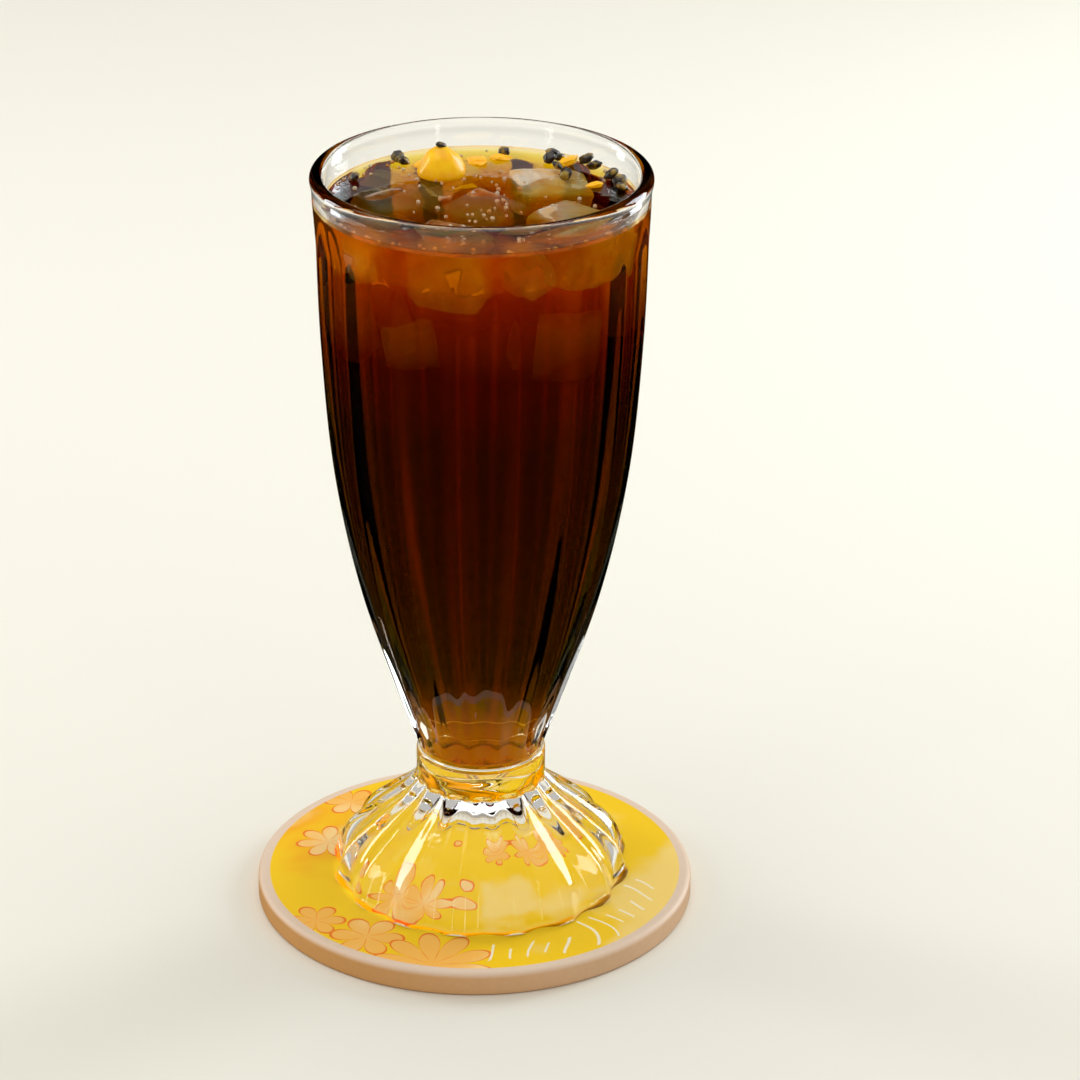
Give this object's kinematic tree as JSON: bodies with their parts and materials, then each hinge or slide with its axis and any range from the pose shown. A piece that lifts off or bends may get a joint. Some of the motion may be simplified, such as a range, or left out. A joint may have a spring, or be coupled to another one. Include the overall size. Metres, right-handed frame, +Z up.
{
  "type": "iced cold brew coffee in a fluted glass",
  "caption": "Iced cold brew coffee with passion fruit pulp in a tall footed fluted glass, standing on a round printed coaster.",
  "frame": {"origin": "centre of the coaster's underside, where the object stands", "axes": "+Z up along the glass, +X to the right and -Y towards whoever faces the served side"},
  "size_m": [0.1104, 0.1104, 0.1935],
  "materials": {
    "coaster": "satin glaze over a yellow print",
    "glass": "clear pressed glass",
    "coffee": "clear dark brown liquid, amber where it is thin",
    "fruit": "wet yellow pulp",
    "ice": "wet clear ice"
  },
  "bodies": {
    "root": {"coaster": "coaster", "glass": "glass", "coffee": "coffee", "passion_fruit_sac": "fruit", "ice_1": "ice", "ice_2": "ice", "ice_3": "ice", "ice_4": "ice", "ice_5": "ice"}
  },
  "joints": []
}
